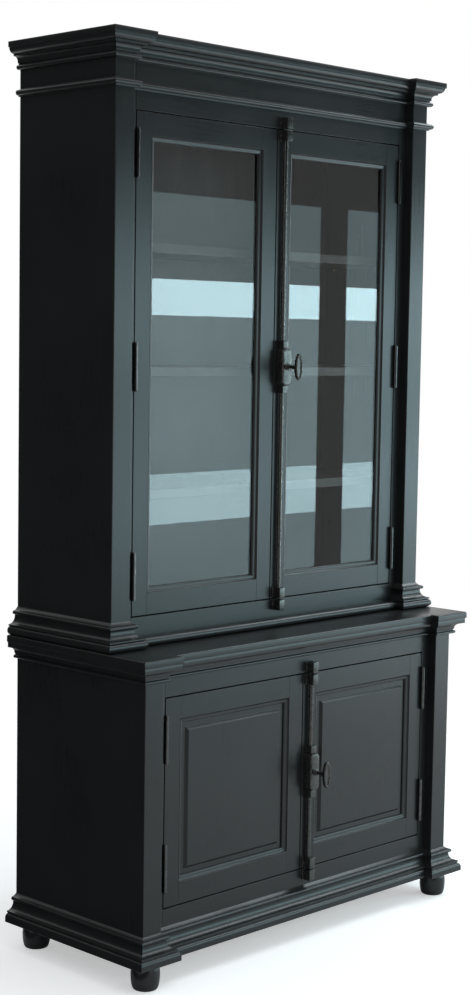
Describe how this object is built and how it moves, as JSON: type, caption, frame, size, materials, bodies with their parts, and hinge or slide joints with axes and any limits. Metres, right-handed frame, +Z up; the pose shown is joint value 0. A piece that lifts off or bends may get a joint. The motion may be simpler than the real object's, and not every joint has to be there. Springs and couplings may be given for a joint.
{
  "type": "glazed display cabinet",
  "caption": "Break-front display cabinet in black lacquer: a glazed, shelved upper case on a panelled cupboard base with bun feet, its doors locked by cremone bolts with oval knobs.",
  "frame": {"origin": "on the floor under the middle of the cabinet's overall box", "axes": "+Z up, +Y towards the back, +X to the right seen from the front"},
  "size_m": [1.246, 0.532, 2.3],
  "materials": {
    "lacquer": "satin black lacquer",
    "inside_wood": "dark stained",
    "iron": "satin black iron",
    "steel": "drawn",
    "pin_brass": "turned",
    "glass": "clear"
  },
  "bodies": {
    "case": {"bun_feet": "lacquer", "sole_board": "inside_wood", "plinth_moulding": "lacquer", "base_sides": "lacquer", "base_pilasters": "lacquer", "base_face_frame": "lacquer", "base_floor": "inside_wood", "base_back": "inside_wood", "base_shelf": "inside_wood", "waist_moulding": "lacquer", "deck": "lacquer", "upper_sides": "lacquer", "upper_pilasters": "lacquer", "upper_face_frame": "lacquer", "upper_floor": "inside_wood", "upper_back": "inside_wood", "upper_top": "inside_wood", "dust_board": "inside_wood", "upper_shelves": "inside_wood", "shelf_pins": "pin_brass", "upper_foot_moulding": "lacquer", "frieze_astragal": "lacquer", "cornice": "lacquer", "hinge_frame_halves": "iron", "hinge_pins": "steel", "bolt_keepers": "iron", "keeper_screws": "iron", "door_catches": "iron"},
    "upper_left_door": {"upper_left_door_frame": "lacquer", "upper_left_glazing_moulding": "lacquer", "upper_left_glass": "glass", "upper_left_glass_beads": "inside_wood", "upper_left_hinge_halves": "iron", "upper_left_strike": "iron"},
    "upper_right_door": {"upper_right_door_frame": "lacquer", "upper_right_glazing_moulding": "lacquer", "upper_right_glass": "glass", "upper_right_glass_beads": "inside_wood", "upper_right_hinge_halves": "iron", "upper_bolt_case": "iron", "upper_bolt_guides": "iron", "upper_guide_screws": "iron"},
    "lower_left_door": {"lower_left_door_frame": "lacquer", "lower_left_panel_moulding": "lacquer", "lower_left_panel": "lacquer", "lower_left_hinge_halves": "iron", "lower_left_strike": "iron"},
    "lower_right_door": {"lower_right_door_frame": "lacquer", "lower_right_panel_moulding": "lacquer", "lower_right_panel": "lacquer", "lower_right_hinge_halves": "iron", "lower_bolt_case": "iron", "lower_bolt_guides": "iron", "lower_guide_screws": "iron"},
    "upper_knob": {"upper_bolt_knob": "iron"},
    "upper_top_bolt": {"upper_top_rod": "iron"},
    "upper_bottom_bolt": {"upper_bottom_rod": "iron"},
    "lower_knob": {"lower_bolt_knob": "iron"},
    "lower_top_bolt": {"lower_top_rod": "iron"},
    "lower_bottom_bolt": {"lower_bottom_rod": "iron"}
  },
  "joints": [
    {"name": "upper_left_door_swing", "type": "hinge", "parent": "case", "child": "upper_left_door", "pos_m": [-0.4955, -0.074, 1.50405], "axis": [0, 0, -1], "range_deg": [0, 110]},
    {"name": "upper_right_door_swing", "type": "hinge", "parent": "case", "child": "upper_right_door", "pos_m": [0.4955, -0.074, 1.50405], "axis": [0, 0, 1], "range_deg": [0, 110]},
    {"name": "upper_knob_turn", "type": "hinge", "parent": "upper_right_door", "child": "upper_knob", "pos_m": [0.024, -0.068, 1.50405], "axis": [0, -1, 0], "range_deg": [0, 90]},
    {"name": "upper_top_bolt_slide", "type": "slide", "parent": "upper_right_door", "child": "upper_top_bolt", "axis": [0, 0, 1], "range_m": [0, 0.01429]},
    {"name": "upper_bottom_bolt_slide", "type": "slide", "parent": "upper_right_door", "child": "upper_bottom_bolt", "axis": [0, 0, -1], "range_m": [0, 0.0143]},
    {"name": "lower_left_door_swing", "type": "hinge", "parent": "case", "child": "lower_left_door", "pos_m": [-0.4955, -0.2, 0.4425], "axis": [0, 0, -1], "range_deg": [0, 110]},
    {"name": "lower_right_door_swing", "type": "hinge", "parent": "case", "child": "lower_right_door", "pos_m": [0.4955, -0.2, 0.4425], "axis": [0, 0, 1], "range_deg": [0, 110]},
    {"name": "lower_knob_turn", "type": "hinge", "parent": "lower_right_door", "child": "lower_knob", "pos_m": [0.024, -0.194, 0.4425], "axis": [0, -1, 0], "range_deg": [0, 90]},
    {"name": "lower_top_bolt_slide", "type": "slide", "parent": "lower_right_door", "child": "lower_top_bolt", "axis": [0, 0, 1], "range_m": [0, 0.01429]},
    {"name": "lower_bottom_bolt_slide", "type": "slide", "parent": "lower_right_door", "child": "lower_bottom_bolt", "axis": [0, 0, -1], "range_m": [0, 0.0143]}
  ],
  "couplings": [
    {"joint": "upper_knob_turn", "follows": "upper_top_bolt_slide", "rad_per_m": 109.89},
    {"joint": "upper_bottom_bolt_slide", "follows": "upper_top_bolt_slide", "ratio": 1},
    {"joint": "lower_knob_turn", "follows": "lower_top_bolt_slide", "rad_per_m": 109.89},
    {"joint": "lower_bottom_bolt_slide", "follows": "lower_top_bolt_slide", "ratio": 1}
  ]
}
